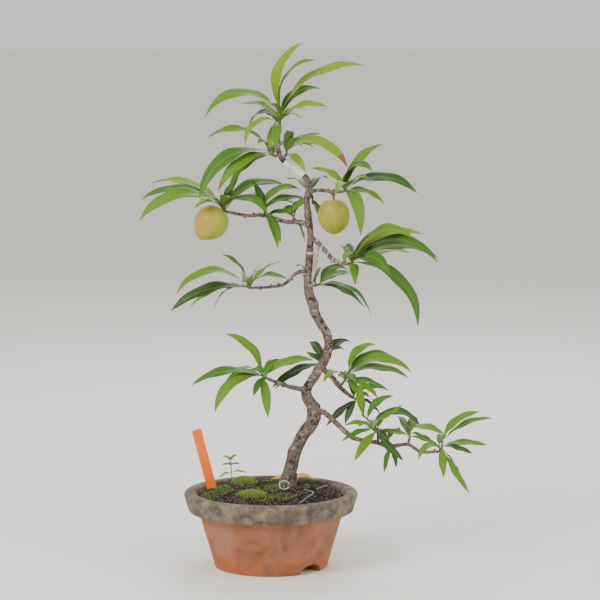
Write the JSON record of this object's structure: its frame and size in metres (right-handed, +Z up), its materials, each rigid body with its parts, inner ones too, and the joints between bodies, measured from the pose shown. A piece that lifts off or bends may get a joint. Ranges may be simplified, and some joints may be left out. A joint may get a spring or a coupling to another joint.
{
  "type": "japanese plum bonsai",
  "caption": "Potted plum bonsai with a bent, slanting trunk, tufts of drooping lance-shaped leaves and round fruit, in mossy soil in a round flared clay training pot.",
  "frame": {"origin": "middle of the pot's flat underside, on which the plant stands", "axes": "+Z up, along the plant's height; +X to the right in the picture; +Y away from its viewer"},
  "size_m": [0.4197, 0.21, 0.6297],
  "materials": {
    "clay": "unglazed fired clay, weathered grey at the rim",
    "soil": "dark granular soil",
    "moss": "short moss",
    "label": "plain orange plastic, no text",
    "wire": "dull grey wire",
    "old_leaf": "yellow-orange fallen leaf",
    "bark": "mottled grey-brown bark",
    "dead_wood": "bleached bare wood",
    "wrap": "white grafting wrap",
    "foliage": "green leaves, a little glossy, and yellow-green fruit"
  },
  "bodies": {
    "root": {"pot": "clay", "soil": "soil", "moss_front": "moss", "moss_left": "moss", "moss_back": "moss", "label": "label", "tie_wire_front": "wire", "tie_wire_back": "wire", "fallen_leaf": "old_leaf", "trunk": "bark", "bough_right_low": "bark", "bough_right_back": "bark", "bough_left_low": "bark", "bough_left_mid": "bark", "bough_left_upper": "bark", "bough_right_top": "bark", "bough_right_mid": "bark", "dead_stub": "dead_wood", "leader": "bark", "graft_wrap": "wrap", "foliage_apex": "foliage", "foliage_apex_left": "foliage", "foliage_apex_right": "foliage", "foliage_left_upper": "foliage", "foliage_left_upper_inner": "foliage", "foliage_left_upper_spur": "foliage", "foliage_right_top": "foliage", "foliage_trunk_top": "foliage", "foliage_fruit_right": "foliage", "foliage_right_mid": "foliage", "foliage_right_spur": "foliage", "foliage_left_mid": "foliage", "foliage_left_low": "foliage", "foliage_trunk_back": "foliage", "foliage_right_back": "foliage", "foliage_right_back_tip": "foliage", "foliage_low_inner": "foliage", "foliage_low_mid": "foliage", "foliage_low_hanging": "foliage", "foliage_low_tip": "foliage"}
  },
  "joints": []
}
